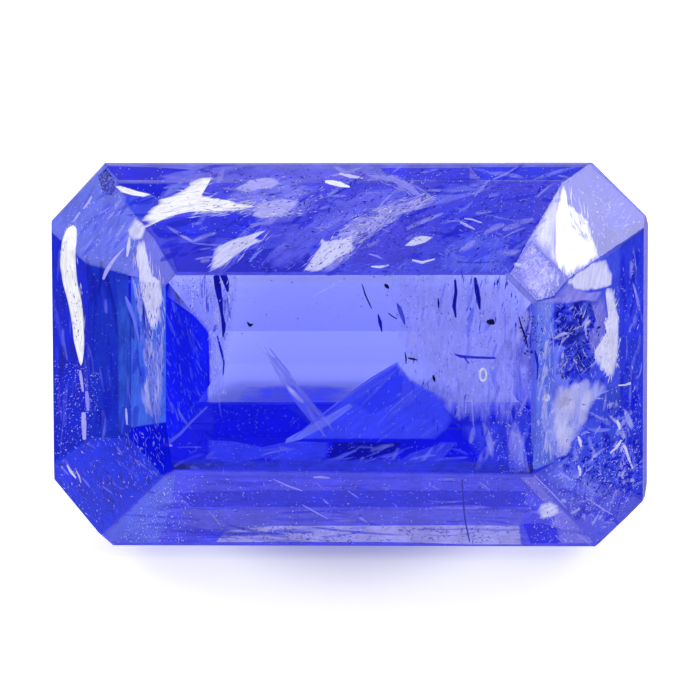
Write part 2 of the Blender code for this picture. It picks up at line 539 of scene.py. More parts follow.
# Many soft streaks: each is a flat tube, half width * sqrt(1 - t squared) wide along its length t,
# bowed a little to one side by bow * (1 - t squared).
def streakPart(row):
    *plot, opacity, seed = row
    draw = np.random.default_rng(seed)
    middles, half, thin, sink, along, side, tint = strewn(draw, *plot)
    count = len(middles)
    steps, around = streakForm["steps"], streakForm["around"]
    bow = half * draw.uniform(-streakForm["bow"], streakForm["bow"], count)
    t = np.linspace(-1, 1, steps)
    full = np.sqrt(1 - t ** 2)
    turn = np.linspace(0, 2 * np.pi, around, endpoint=False)
    reach = half[:, None] * t
    across = (thin[:, None] * full)[:, :, None] * np.cos(turn)
    line = middles[:, None] + along[:, None] * reach[..., None]
    line = line + side[:, None] * (bow[:, None] * full ** 2)[..., None]
    pixels = line[:, :, None] + side[:, None, None] * across[..., None]
    deep = sink[:, None, None] + streakForm["thick"] * full[:, None] * np.sin(turn)
    anchors = np.broadcast_to(middles[:, None, None], pixels.shape)
    points = seenPlace(pixels.reshape(-1, 2), deep.reshape(-1), anchors.reshape(-1, 2))
    each = steps * around
    spans = np.stack([np.broadcast_to(reach[..., None], across.shape), across], -1) + middles[:, None, None]
    edge = np.maximum(np.abs(np.cos(turn))[None, :], np.abs(t[:, None]) ** 3)
    return {
        "points": points,
        "faces": (np.arange(count)[:, None, None] * each + bandFaces(steps, around)).reshape(-1, 4),
        "grain": spans.reshape(-1, 2) * picture["pixel"],
        "edge": np.broadcast_to(edge, (count, steps, around)).reshape(-1),
        "opacity": np.repeat(opacity * draw.uniform(streakForm["faintest"], 1.0, count), each),
        "tint": np.repeat(tint, each, axis=0),
    }


veilNoise = {
    "streak": (0.38, 0.62),   # the levels of the fine noise between which a veil goes from thin to full
    "cloud": (0.36, 0.66),    # and those of the round one
}
grainNoise = (0.3, 0.7)       # the levels between which a grain goes from dim to bright
veilSurface = {"roughness": 0.6, "shine": 0.1}


# Group: how solid a veil is. It frays where its edge, shifted by streaky noise, passes one,
# and inside it thins by a finer streaky noise and by a round cloudy one.
def frayGroup():
    group = bpy.data.node_groups.new("frayedVeil", "ShaderNodeTree")
    face = group.interface
    for name, value in (("Edge", 0.0), ("Opacity", 1.0), ("Fray", 0.5), ("Softness", 0.15),
                        ("Texture", 0.5), ("Along", 2.0), ("Across", 12.0), ("Fine", 3.0),
                        ("Cloudiness", 0.3), ("Clouds", 1.5)):
        socket = face.new_socket(name, in_out="INPUT", socket_type="NodeSocketFloat")
        socket.default_value = value
    face.new_socket("Grain", in_out="INPUT", socket_type="NodeSocketVector")
    for name in ("Alpha", "Streak", "Cloud"):
        face.new_socket(name, in_out="OUTPUT", socket_type="NodeSocketFloat")
    given = group.nodes.new("NodeGroupInput").outputs
    result = group.nodes.new("NodeGroupOutput").inputs

    def times(a, b):
        return maths(group, "MULTIPLY", a, b)

    def minus(a, b):
        return maths(group, "SUBTRACT", a, b)

    def noise(vector, size, detail):
        node = group.nodes.new("ShaderNodeTexNoise")
        node.inputs["Detail"].default_value = detail
        feed(group, size, node.inputs["Scale"])
        group.links.new(vector, node.inputs["Vector"])
        return node.outputs["Fac"]

    scale = group.nodes.new("ShaderNodeCombineXYZ")
    group.links.new(given["Along"], scale.inputs[0])
    group.links.new(given["Across"], scale.inputs[1])
    stretched = group.nodes.new("ShaderNodeVectorMath")
    stretched.operation = "MULTIPLY"
    group.links.new(given["Grain"], stretched.inputs[0])
    group.links.new(scale.outputs[0], stretched.inputs[1])
    coarse = noise(stretched.outputs[0], 1.0, 2.0)
    fine = noise(stretched.outputs[0], given["Fine"], 2.0)
    streak = ranged(group, fine, *veilNoise["streak"], smooth=True)
    cloud = ranged(group, noise(given["Grain"], given["Clouds"], 3.0), *veilNoise["cloud"], smooth=True)
    shift = times(minus(coarse, 0.5), given["Fray"])
    rim = minus(maths(group, "ADD", 1.0, times(shift, 2.0)), given["Edge"])
    solid = maths(group, "DIVIDE", rim, given["Softness"], clamp=True)
    thin = minus(1.0, times(given["Texture"], minus(1.0, streak)))
    drift = minus(1.0, times(given["Cloudiness"], minus(1.0, cloud)))
    body = times(times(solid, thin), drift)
    alpha = maths(group, "MULTIPLY", body, given["Opacity"], clamp=True)
    group.links.new(alpha, result["Alpha"])
    group.links.new(streak, result["Streak"])
    group.links.new(cloud, result["Cloud"])
    return group


frayedVeil = frayGroup()


def attribute(tree, name, output):
    node = tree.nodes.new("ShaderNodeAttribute")
    node.attribute_name = name
    return node.outputs[output]


# The start of every material in the stone.
def innerMaterial(name, finish):
    material = bpy.data.materials.new(name)
    material.use_nodes = True
    material.cycles.emission_sampling = "NONE"
    shader = material.node_tree.nodes["Principled BSDF"]
    shader.inputs["Roughness"].default_value = finish["roughness"]
    shader.inputs["Specular IOR Level"].default_value = finish["shine"]
    # painted light: the thing glows at its finish's strength, though it is no lamp
    shader.inputs["Emission Strength"].default_value = finish["glow"]
    return material, material.node_tree, shader


# Painted light: each thing glows with its own shade in place of the light that the stone scatters into it,
# and a share of that shade is its body colour.
def shadeWithPaintedGlow(tree, shader, shade, share):
    tree.links.new(scaled(tree, shade, share), shader.inputs["Base Color"])
    tree.links.new(shade, shader.inputs["Emission Color"])


# A veil keeps its tint where it is thick and dims between its streaks and clouds.
def veilMaterial(name, finish):
    material, tree, shader = innerMaterial(name, veilSurface | finish)
    fray = tree.nodes.new("ShaderNodeGroup")
    fray.node_tree = frayedVeil
    for key in ("Fray", "Softness", "Texture", "Along", "Across", "Fine", "Cloudiness", "Clouds"):
        fray.inputs[key].default_value = finish[key]
    grain = tree.nodes.new("ShaderNodeUVMap")
    grain.uv_map = "grain"
    tree.links.new(grain.outputs[0], fray.inputs["Grain"])
    for key in ("edge", "opacity"):
        tree.links.new(attribute(tree, key, "Fac"), fray.inputs[key.capitalize()])
    shade = attribute(tree, "tint", "Color")
    for mask, low in (("Streak", finish["dimStreak"]), ("Cloud", finish["dimCloud"])):
        shade = scaled(tree, shade, ranged(tree, fray.outputs[mask], toLow=low))
    shadeWithPaintedGlow(tree, shader, shade, finish["body"])
    tree.links.new(fray.outputs["Alpha"], shader.inputs["Alpha"])
    return material


# Grains and needles are solid: their own tint, uneven through the stone.
def grainMaterial(name, finish):
    material, tree, shader = innerMaterial(name, finish)
    coords = tree.nodes.new("ShaderNodeTexCoord")
    noise = tree.nodes.new("ShaderNodeTexNoise")
    noise.inputs["Scale"].default_value = finish["patches"]
    tree.links.new(coords.outputs["Object"], noise.inputs["Vector"])
    level = ranged(tree, noise.outputs["Fac"], *grainNoise, toLow=finish["dim"])
    shadeWithPaintedGlow(tree, shader, scaled(tree, attribute(tree, "tint", "Color"), level), finish["body"])
    return material


# A haze of the finest drops lies just under each crown facet and gives the stone its sleepy blue.
# Its tint, set facet by facet, is also painted light and shade: the reflections and dark zones of each facet.
hazeFinish = {"glow": 0.85, "body": 0.25, "Fray": 0.0, "Softness": 0.015, "Texture": 0.10, "Along": 1.5,
              "Across": 7.0, "Fine": 2.0, "Cloudiness": 0.15, "Clouds": 1.1, "dimStreak": 0.88,
              "dimCloud": 0.82}

# Depths in millimetres. Patches lie nearer the surface than the facet hazes, at levels taken in turn.
hazeDepth = {
    "facet": 0.16,
    "patchLift": 0.03,
    "levelStep": 0.003,
    "levels": 5,
}

# One haze for each facet of the crown. These tints, and those of most of the patches, were not picked by
# eye: a script stepped each until its region in a render came near the colour that it has in the photo.
# partly a real haze, partly painted light and shade: a pale tint paints a facet's reflection, a deep one its
# dark zone
facetHazeAndPaintedLight = {
    # outline, tint, opacity, grain
    "backUpper": ([(103, 163), (589, 163), (562, 182), (115, 182)], paint(128, 128, 240), 0.8, 2),
    "backMiddle": ([(115, 181.5), (562.5, 181.5), (529.5, 239.5), (155, 239.8), (141, 225)],
                   paint(88, 87, 247), 0.78, 14),
    "backLower": ([(155, 239.5), (529.5, 239), (510.5, 274), (175, 274.3)], paint(85, 90, 247), 0.80, 16),
    "topLeftOuter": ([(104, 164), (52, 220), (51, 231), (87.5, 264), (128.5, 274.5), (141, 225), (115, 181)],
                     paint(104, 120, 247), 0.85, 60),
    "topLeftInner": ([(141, 226), (128, 275), (164.5, 285.5), (175, 274), (155, 240)],
                     paint(122, 125, 248), 0.8, 70),
    "leftOuter": ([(51, 232), (87.5, 263.5), (92.5, 437.5), (51, 463)], paint(0, 34, 227), 0.85, 88),
    "leftMiddle": ([(87.5, 263.5), (128.5, 275), (132.5, 429), (129.5, 438), (92, 438)],
                   paint(34, 61, 212), 0.62, 88),
    "leftInner": ([(131.5, 277.5), (165, 285), (165, 422.5), (131.5, 427.5)], paint(77, 120, 255), 0.72, 88),
    "cornerStrip": ([(131.5, 428), (165, 423), (172.5, 470.5), (163, 475), (129.5, 438)],
                    paint(0, 13, 241), 0.9, 80),
    "bottomLeft": ([(51, 463), (90, 437.5), (129.5, 438), (163, 475), (100, 535), (51, 481)],
                   paint(0, 45, 249), 0.95, -55),
    "bottom": ([(173, 471), (531.5, 475), (596, 548), (107, 548), (99, 534), (163, 475)],
               paint(75, 76, 255), 0.93, 3),
    "bottomRight": ([(531, 475), (555, 462), (645, 498), (644, 502), (597, 547)],
                    paint(81, 86, 238), 0.9, 35),
    "rightOuter": ([(619, 243.2), (645, 226), (645, 499), (619, 488)], paint(58, 75, 244), 0.62, 88),
    "rightMiddle": ([(552.3, 296.6), (568, 278.4), (620, 243), (620, 488), (552.5, 462)],
                    paint(84, 103, 251), 0.5, 80),
    "rightInner": ([(536.5, 300.2), (553.3, 296.3), (553.5, 462), (534, 470)], paint(109, 132, 255), 0.8, 88),
    "topRightInner": ([(529.3, 238.2), (568.8, 278), (553.3, 297.2), (537.2, 301), (510, 273.4)],
                      paint(0, 0, 210), 0.72, 45),
    "topRightOuter": ([(562.2, 181.8), (589, 164), (645, 216), (645, 227.4), (568.7, 278.2), (529.3, 238.3)],
                      paint(147, 144, 189), 0.35, 45),
}

# Painted light and painted shade: lighter and deeper patches inside the facets, for the reflections and dark
# zones that they show, with the same fields.
paintedLightAndShadePatches = {
    "lowerEdge": ([(214, 544.5), (222, 533), (233, 526), (380, 525.5), (520, 525), (522, 544.5)],
                  paint(169, 167, 255), 0.9, 3),
    "lowerShade": ([(178, 493), (262, 490), (526, 491), (530, 507), (190, 507)], paint(27, 36, 238), 0.85, 2),
    "lowerLeftPale": ([(164, 477), (176, 474), (170, 510), (158, 543), (111, 543), (106, 533)],
                      paint(92, 110, 255), 0.75, 60),
    "lowerRightPale": ([(520, 477), (534, 477), (594, 543), (545, 544), (560, 520), (545, 500)],
                       paint(135, 131, 250), 0.5, 40),
    "upperShadeA": ([(150, 226), (176, 217), (216, 214), (258, 214), (262, 238), (158, 238)],
                    paint(52, 60, 247), 0.9, 5),
    "upperShadeB": ([(168, 244), (210, 241), (214, 250), (208, 272), (177, 272)],
                    paint(53, 53, 230), 0.8, 60),
    "upperShadeC": ([(118, 184), (168, 184), (158, 198), (146, 192), (122, 187)],
                    paint(17, 30, 221), 0.85, 0),
    "upperShadeD": ([(122, 197), (146, 197), (158, 200), (141, 222)], paint(69, 88, 255), 0.85, 50),
    "upperShadeE": ([(250, 250), (300, 246), (312, 256), (302, 272), (225, 272)],
                    paint(42, 42, 217), 0.75, 20),
    "upperShadeF": ([(430, 212), (470, 200), (536, 190), (530, 236), (470, 262), (432, 240)],
                    paint(71, 76, 249), 0.7, 15),
    "upperShadeG": ([(360, 236), (400, 218), (430, 214), (440, 236), (400, 262), (352, 262)],
                    paint(81, 78, 238), 0.7, 25),
    "lowerDeep": ([(523, 524), (540, 523), (556, 527), (561, 543.5), (531, 543.5)],
                  paint(0, 0, 250), 0.85, 3),
    "lowerMid": ([(182, 510), (528, 510), (522, 524), (236, 525), (216, 532), (172, 530)],
                 paint(92, 92, 236), 0.6, 3),
    "seamTable": ([(505, 273.8), (510.6, 273.6), (536.8, 300.4), (536.6, 308), (531, 303), (506, 278)],
                  paint(138, 142, 252), 0.9, 45),
    "seamRight": ([(553.5, 296.4), (568.3, 278.4), (620, 243.4), (622, 246), (571, 282), (556, 300)],
                  paint(100, 106, 240), 0.7, 45),
    "seamStrip": ([(532, 304), (536.7, 301.5), (535.8, 400), (535.2, 452), (531, 440), (531, 360)],
                  paint(98, 110, 250), 0.75, 88),
    "topGlowA": ([(380, 168), (470, 168), (470, 180), (392, 180)], paint(63, 65, 255), 0.8, 4),
    "topShadeA": ([(470, 167), (585, 167), (565, 180), (480, 180)], paint(42, 57, 255), 0.75, 4),
    "topShadeB": ([(105, 166), (150, 167), (214, 171), (160, 180), (118, 180)], paint(0, 0, 241), 0.65, 4),
}


def makeHazeAndPaintedLight():
    parts = []
    form = {"thick": 0.012, "rings": 4, "around": 64}
    for outline, tint, opacity, grain in facetHazeAndPaintedLight.values():
        parts.append(lensPart(outline, hazeDepth["facet"], tint, opacity, grain, **form))
    for count, (outline, tint, opacity, grain) in enumerate(paintedLightAndShadePatches.values(), len(facetHazeAndPaintedLight)):
        lift = hazeDepth["patchLift"] + hazeDepth["levelStep"] * (count % hazeDepth["levels"])
        parts.append(lensPart(outline, hazeDepth["facet"] - lift, tint, opacity, grain, **form))
    # one piece of haze that holds the painted light and shade of the facets
    makePiece("blueHazeAndPaintedLight", parts, veilMaterial("blueHazeAndPaintedLight", hazeFinish))


makeHazeAndPaintedLight()

# Clean healed fractures behind the table: smooth blue sails with crisp edges, and the pale mist at the right.
# Three of the sails are painted shade: dark zones of the pavilion seen through the table.
sailFinish = {"glow": 0.94, "body": 0.25, "Fray": 0.03, "Softness": 0.08, "Texture": 0.12, "Along": 0.8,
              "Across": 4.0, "Fine": 2.0, "Cloudiness": 0.12, "Clouds": 1.2, "dimStreak": 0.90,
              "dimCloud": 0.88}

sails = {
    # outline, depth, tint, opacity, grain
    "fan": ([(398, 361.5), (380, 372), (360, 386), (345, 397), (325, 414), (300, 432), (290, 439.4),
             (436, 439.4), (447, 430), (453, 420), (453, 405), (436, 392), (420, 385), (408, 375)],
            0.60, paint(62, 74, 255), 0.95, 35),
    "fanShade": ([(396, 366), (404, 378), (400, 400), (372, 416), (352, 402), (372, 384)], 0.56,
                 paint(44, 58, 250), 0.6, 35),
    "fanRim": ([(350, 403), (354, 406), (330, 424), (300, 440), (284, 444), (286, 439), (318, 421)],
               0.50, paint(110, 120, 255), 0.85, 35),
    # painted shade: the dark zone of the pavilion seen through the table
    "arrowPaintedShade": ([(212, 405), (288, 405), (311, 424), (296, 438), (213, 438)],
                  0.62, paint(10, 17, 232), 0.7, 5),
    "lowerLeft": ([(207, 439.5), (232, 441), (262, 447), (290, 441), (330, 442), (328, 458), (300, 463),
                   (262, 458), (232, 464), (207, 459)], 0.60, paint(60, 72, 252), 0.6, 5),
    # painted shade: the same dark zone of the pavilion, lower down
    "lowPaintedShade": ([(332, 442), (404, 442), (392, 456), (350, 462), (328, 458)],
                0.62, paint(10, 13, 150), 0.6, 5),
    "lowerRight": ([(396, 463), (410, 453), (436, 445), (441, 441.5), (458, 441.5), (448, 454),
                    (431, 471), (388, 471)], 0.55, paint(76, 86, 252), 0.35, 30),
    # painted shade: the dark band that the pavilion's left facets show
    "leftDeep": ([(162, 288), (176, 296), (195, 310), (210, 330), (209, 403), (190, 422), (162, 448)], 0.5,
                 paint(16, 30, 252), 0.75, -72),
    "feather": ([(264, 351), (276, 358), (292, 378), (306, 397), (322, 424), (312, 424), (296, 404),
                 (280, 380)], 0.55, paint(96, 106, 252), 0.4, -52),
}

mistFinish = {"glow": 0.96, "body": 0.25, "Fray": 0.30, "Softness": 0.40, "Texture": 0.22, "Along": 0.9,
              "Across": 5.0, "Fine": 2.6, "Cloudiness": 0.28, "Clouds": 2.0, "dimStreak": 0.86,
              "dimCloud": 0.86}

mists = {
    "tableRight": ([(388, 273.5), (430, 273), (511, 273.5), (537, 300.5), (538, 400), (526, 422), (495, 425),
                    (456, 420), (440, 402), (425, 384), (404, 364), (398, 330), (392, 300)],
                   0.50, paint(148, 152, 255), 0.94, 88),
    "tableRightLow": ([(456, 424), (500, 420), (536, 404), (536, 464), (520, 473), (486, 473), (470, 450)],
                      0.45, paint(66, 78, 240), 0.55, 88),
    "tableLeft": ([(168, 276), (238, 275), (240, 298), (232, 330), (228, 362), (222, 402), (210, 404),
                   (208, 332), (190, 312), (167, 296)], 0.45, paint(128, 134, 252), 0.55, 88),
    "upperSheet": ([(155, 177), (175, 172), (200, 168), (206, 172), (190, 179), (172, 181)],
                   0.10, paint(118, 120, 245), 0.9, 10),
    "wingRoot": ([(159, 199), (171, 184), (186, 181), (180, 190), (165, 198)],
                 0.09, paint(118, 128, 244), 0.9, 30),
    "diagonal": ([(328, 240), (345, 222), (364, 212), (396, 200), (417, 196), (436, 197), (432, 206),
                  (413, 211), (395, 218), (382, 228), (369, 239), (350, 243)],
                  0.09, paint(160, 158, 248), 0.95, 25),
    "diagonalUpper": ([(300, 225), (330, 205), (370, 188), (420, 184), (438, 193), (400, 203), (360, 215),
                       (330, 232), (305, 240)], 0.10, paint(106, 108, 244), 0.85, 20),
    "cloudField": ([(222, 198), (236, 184), (262, 176), (300, 178), (322, 190), (316, 212), (286, 224),
                    (256, 222), (236, 212)], 0.10, paint(128, 130, 246), 0.85, 12),
    "topField": ([(200, 168), (330, 168), (380, 174), (370, 184), (300, 182), (240, 180), (206, 178)],
                 0.10, paint(104, 100, 240), 0.8, 8),
    "farArc": ([(428, 202), (446, 188), (484, 180), (500, 186), (462, 199), (436, 208)],
               0.10, paint(112, 118, 246), 0.85, 15),
    "farField": ([(440, 246), (470, 232), (508, 238), (512, 262), (500, 272), (440, 272)], 0.10,
                 paint(92, 106, 248), 0.8, 70),
    "centreField": ([(290, 226), (322, 212), (344, 222), (322, 240), (300, 262), (276, 270), (262, 262)],
                    0.10, paint(96, 98, 240), 0.75, 35),
    "cloudy": ([(557, 385), (575, 379), (600, 380), (608, 388), (596, 400), (589, 413), (582, 432),
                (572, 443), (566, 455), (555, 459), (548, 448), (546, 432), (545, 419), (551, 403)],
               0.06, paint(166, 172, 252), 1.0, 80),
    "cloudyFoot": ([(548, 462), (566, 456), (584, 470), (606, 486), (600, 500), (566, 492), (542, 476)],
                   0.08, paint(96, 108, 246), 0.75, 30),
    "rightTop": ([(540, 303), (556, 297), (567, 281), (590, 292), (607, 291), (601, 302), (580, 301),
                  (560, 305)], 0.08, paint(146, 142, 242), 0.95, 60),
    "rightVeil": ([(590, 300), (606, 296), (608, 320), (604, 342), (592, 356), (586, 338), (596, 320)], 0.08,
                  paint(130, 128, 230), 0.7, 80),
    "blob": ([(536, 512), (541, 504), (550, 501), (560, 505), (560, 513), (550, 519), (540, 519)], 0.08,
             paint(206, 210, 253), 0.95, 20),
    "junction": ([(135, 217), (146, 226), (143, 240), (131, 240), (127, 230)],
                 0.06, paint(214, 214, 252), 0.95, 50),
    # painted shade: the dark band along the foot of the table
    "tableFootPaintedShade": ([(168, 460), (300, 457), (420, 458), (538, 460), (540, 480), (166, 480)], 0.26,
                  paint(48, 58, 226), 0.9, 0),
    # painted shade: the window darkens towards its foot, over the shadowed floor
    "windowFootPaintedShade": ([(246, 386), (300, 384), (358, 386), (340, 404), (296, 406), (234, 404)],
                   0.70, paint(56, 64, 250), 0.6, 0),
    "column": ([(509, 430), (521, 431), (525, 445), (527, 460), (531, 474), (514, 474), (512, 455)],
               0.40, paint(136, 142, 248), 0.9, 85),
    "cornerPatch": ([(623, 408), (629, 412), (635, 427), (632, 432), (626, 422)],
                    0.06, paint(150, 158, 250), 1.0, 60),
    "leftBand": ([(148, 340), (160, 330), (164, 352), (163, 412), (150, 416), (147, 380)], 0.08,
                 paint(122, 138, 242), 0.7, 86),
    "leftStrip": ([(116, 274), (128, 277), (132, 330), (131, 426), (118, 432), (117, 350)], 0.08,
                  paint(50, 88, 216), 0.75, 88),
    "mottle": ([(518, 262), (531, 243), (548, 262), (560, 276), (552, 292), (538, 296), (522, 282)], 0.09,
               paint(150, 140, 240), 0.8, 45),
    "petalFringe": ([(531, 238), (560, 186), (558, 212), (554.5, 241), (554.5, 262)], 0.08,
                    paint(206, 206, 250), 0.9, 85),
    "footMist": ([(330, 240), (358, 236), (354, 256), (332, 272), (306, 272)],
                 0.10, paint(150, 150, 244), 0.7, 40),
}


def makeVeils():
    parts = [lensPart(outline, depth, tint, opacity, grain, thick=0.02, rings=5)
             for outline, depth, tint, opacity, grain in sails.values()]
    makePiece("healedSails", parts, veilMaterial("healedSail", sailFinish))
    parts = [lensPart(outline, depth, tint, opacity, grain, thick=0.02, rings=6)
             for outline, depth, tint, opacity, grain in mists.values()]
    makePiece("dropletMists", parts, veilMaterial("dropletMist", mistFinish))


makeVeils()

# Soft streaks of growth and healing, light and deep, that run with the grain of each part of the stone.
streakFinish = {"glow": 0.88, "body": 0.25, "Fray": 0.25, "Softness": 0.55, "Texture": 0.25, "Along": 1.0,
                "Across": 6.0, "Fine": 2.5, "Cloudiness": 0.35, "Clouds": 2.2, "dimStreak": 0.9,
                "dimCloud": 0.85}

topPlot = [(200, 168), (575, 168), (530, 238), (505, 271), (250, 271), (230, 205)]
topLeftPlot = [(118, 184), (200, 184), (240, 238), (222, 271), (178, 271), (144, 224)]
leftPlot = [(56, 242), (86, 268), (160, 290), (160, 418), (90, 434), (56, 456)]
cornerPlot = [(58, 466), (92, 442), (128, 440), (158, 474), (104, 526), (58, 482)]
bottomPlot = [(170, 478), (530, 478), (586, 541), (116, 541)]
lowRightPlot = [(556, 384), (640, 384), (640, 496), (598, 540), (540, 482), (556, 462)]
mistPlot = [(395, 278), (510, 278), (533, 304), (533, 460), (490, 466), (462, 424), (408, 364)]
roughPlot = [(518, 270), (530, 246), (560, 278), (550, 292), (538, 296)]
leftTopPlot = [(106, 174), (138, 222), (126, 266), (90, 256), (58, 228)]

softStreaks = {
    # outline, count, half length, half width, depth, angle, spread, the two tints mixed, opacity, seed
    "topLight": (topPlot, 70, (6, 26), (1.0, 4.0), (0.08, 0.11), 18, 20, "sky", "lilac", 0.6, 201),
    "topDeep": (topPlot, 70, (6, 26), (1.2, 5.0), (0.08, 0.12), 18, 20, "deep", "royal", 0.65, 202),
    "topLeftLight": (topLeftPlot, 16, (5, 18), (1.0, 3.5), (0.08, 0.11), 14, 18, "sky", "lilac", 0.6, 203),
    "topLeftDeep": (topLeftPlot, 22, (6, 20), (1.5, 5.0), (0.08, 0.12), 14, 18, "deep", "royal", 0.75, 204),
    "leftLight": (leftPlot, 34, (8, 34), (0.7, 2.8), (0.08, 0.11), 92, 5, "blue", "pale", 0.4, 205),
    "leftDeep": (leftPlot, 50, (8, 40), (1.0, 4.5), (0.08, 0.12), 92, 5, "navy", "royal", 0.65, 206),
    "cornerLight": (cornerPlot, 16, (4, 16), (0.6, 2.0), (0.08, 0.11), -52, 14, "blue", "pale", 0.5, 207),
    "cornerDeep": (cornerPlot, 44, (6, 22), (1.0, 4.0), (0.08, 0.12), -52, 12, "deep", "royal", 0.65, 208),
    "bottomLight": (bottomPlot, 40, (8, 40), (0.6, 2.2), (0.08, 0.11), 1, 4, "blue", "lavender", 0.45, 209),
    "bottomDeep": (bottomPlot, 60, (8, 50), (0.7, 3.0), (0.08, 0.12), 1, 4, "deep", "royal", 0.6, 210),
    "bottomCross": (bottomPlot, 14, (4, 18), (0.5, 1.6), (0.08, 0.11), -35, 14, "sky", "lilac", 0.5, 211),
    "lowRightLight": (lowRightPlot, 90, (3, 14), (0.8, 3.4), (0.07, 0.11), 60, 40, "sky", "silver", 0.6, 212),
    "lowRightDeep": (lowRightPlot, 90, (4, 16), (1.0, 4.5), (0.07, 0.12), 60, 40, "deep", "royal", 0.75, 213),
    "mistLight": (mistPlot, 40, (8, 30), (1.2, 6.0), (0.30, 0.42), 80, 16, "pale", "lilac", 0.4, 214),
    "mistDeep": (mistPlot, 30, (6, 22), (0.8, 4.0), (0.30, 0.42), 86, 10, "blue", "sky", 0.45, 215),
    "mistLow": ([(460, 424), (534, 404), (534, 468), (490, 470)],
                34, (4, 18), (1.0, 4.0), (0.30, 0.40), 80, 12, "deep", "royal", 0.6, 216),
    "windowLeftLight": ([(176, 278), (236, 278), (224, 398), (211, 398), (209, 330)], 22, (6, 26), (0.7, 2.4),
                        (0.30, 0.40), 88, 6, "pale", "silver", 0.5, 217),
    "windowLeftDeep": ([(196, 278), (236, 278), (228, 340), (210, 330)], 14, (4, 16), (0.6, 1.8),
                       (0.28, 0.38), 88, 6, "deep", "royal", 0.6, 218),
    "deepLeftLight": ([(168, 300), (204, 334), (204, 402), (168, 440)], 20, (5, 20), (0.7, 2.4), (0.30, 0.42),
                      -72, 8, "blue", "sky", 0.45, 219),
    "fanLight": ([(392, 368), (440, 400), (446, 424), (430, 436), (306, 436)],
                 14, (14, 40), (1.0, 4.5), (0.42, 0.52), 38, 7, "blue", "sky", 0.45, 220),
    "feather": ([(262, 352), (276, 350), (330, 424), (312, 430)],
                16, (12, 40), (0.8, 2.8), (0.40, 0.50), -53, 4, "mid", "lilac", 0.65, 221),
    "lowBandLight": ([(180, 446), (470, 446), (464, 470), (178, 470)],
                     46, (5, 24), (0.8, 3.0), (0.40, 0.52), 20, 25, "blue", "pale", 0.5, 222),
    "outLight": ([(624, 262), (640, 250), (640, 480), (624, 480)],
                 22, (5, 20), (0.7, 2.6), (0.08, 0.11), 84, 10, "sky", "lilac", 0.55, 223),
    "outDeep": ([(622, 262), (641, 250), (641, 480), (622, 480)],
                26, (5, 22), (0.8, 3.4), (0.08, 0.12), 84, 10, "deep", "royal", 0.65, 224),
    "stripLight": ([(539, 304), (551, 302), (551, 458), (538, 462)],
                   22, (6, 22), (0.7, 2.6), (0.08, 0.11), 88, 5, "pale", "silver", 0.6, 225),
    "roughLight": (roughPlot, 30, (2.5, 9), (0.8, 3.0), (0.07, 0.10), 50, 40, "lavender", "silver", 0.6, 226),
    "roughDeep": (roughPlot, 24, (2.5, 9), (0.8, 2.6), (0.07, 0.11), 50, 40, "royal", "mid", 0.7, 227),
    "leftTopLight": (leftTopPlot, 26, (5, 20), (0.8, 3.0), (0.08, 0.11), 52, 14, "sky", "lilac", 0.5, 228),
    "leftTopDeep": (leftTopPlot, 24, (5, 20), (0.8, 3.0), (0.08, 0.12), 52, 14, "royal", "blue", 0.5, 229),
    "cloudLight": ([(552, 402), (575, 386), (594, 388), (580, 430), (560, 450)], 16, (8, 18), (5.0, 11.0),
                   (0.04, 0.06), 72, 18, "lilac", "silver", 0.45, 230),
    "innerLeftLight": ([(136, 284), (162, 292), (162, 412), (142, 414)],
                       24, (8, 34), (0.7, 2.8), (0.06, 0.09), 94, 4, "sky", "silver", 0.5, 231),
    "darkPocket": ([(556, 306), (575, 301), (598, 306), (602, 322), (596, 340), (598, 356), (590, 372),
                    (572, 379), (560, 374), (555, 350)], 58, (4, 13), (1.6, 5.0), (0.09, 0.12), 68, 40,
                   "navy", "royal", 0.8, 232),
    "pocketLight": ([(556, 306), (598, 306), (600, 350), (590, 374), (560, 374)], 26, (3, 11), (0.5, 2.0),
                    (0.05, 0.08), 66, 36, "sky", "snow", 0.6, 233),
}


def makeStreaks():
    parts = [streakPart(row) for row in softStreaks.values()]
    makePiece("softStreaks", parts, veilMaterial("softStreak", streakFinish))


makeStreaks()

# Open fractures, their mirrored light painted on as a white glow, brushed out at the rim, with feathers along
# the grain.
fractureFinish = {"glow": 0.88, "body": 0.4, "Fray": 0.26, "Softness": 0.20, "Texture": 0.10, "Along": 1.0,
                  "Across": 7.0, "Fine": 2.5, "Cloudiness": 0.08, "Clouds": 2.0, "dimStreak": 0.90,
                  "dimCloud": 0.92}

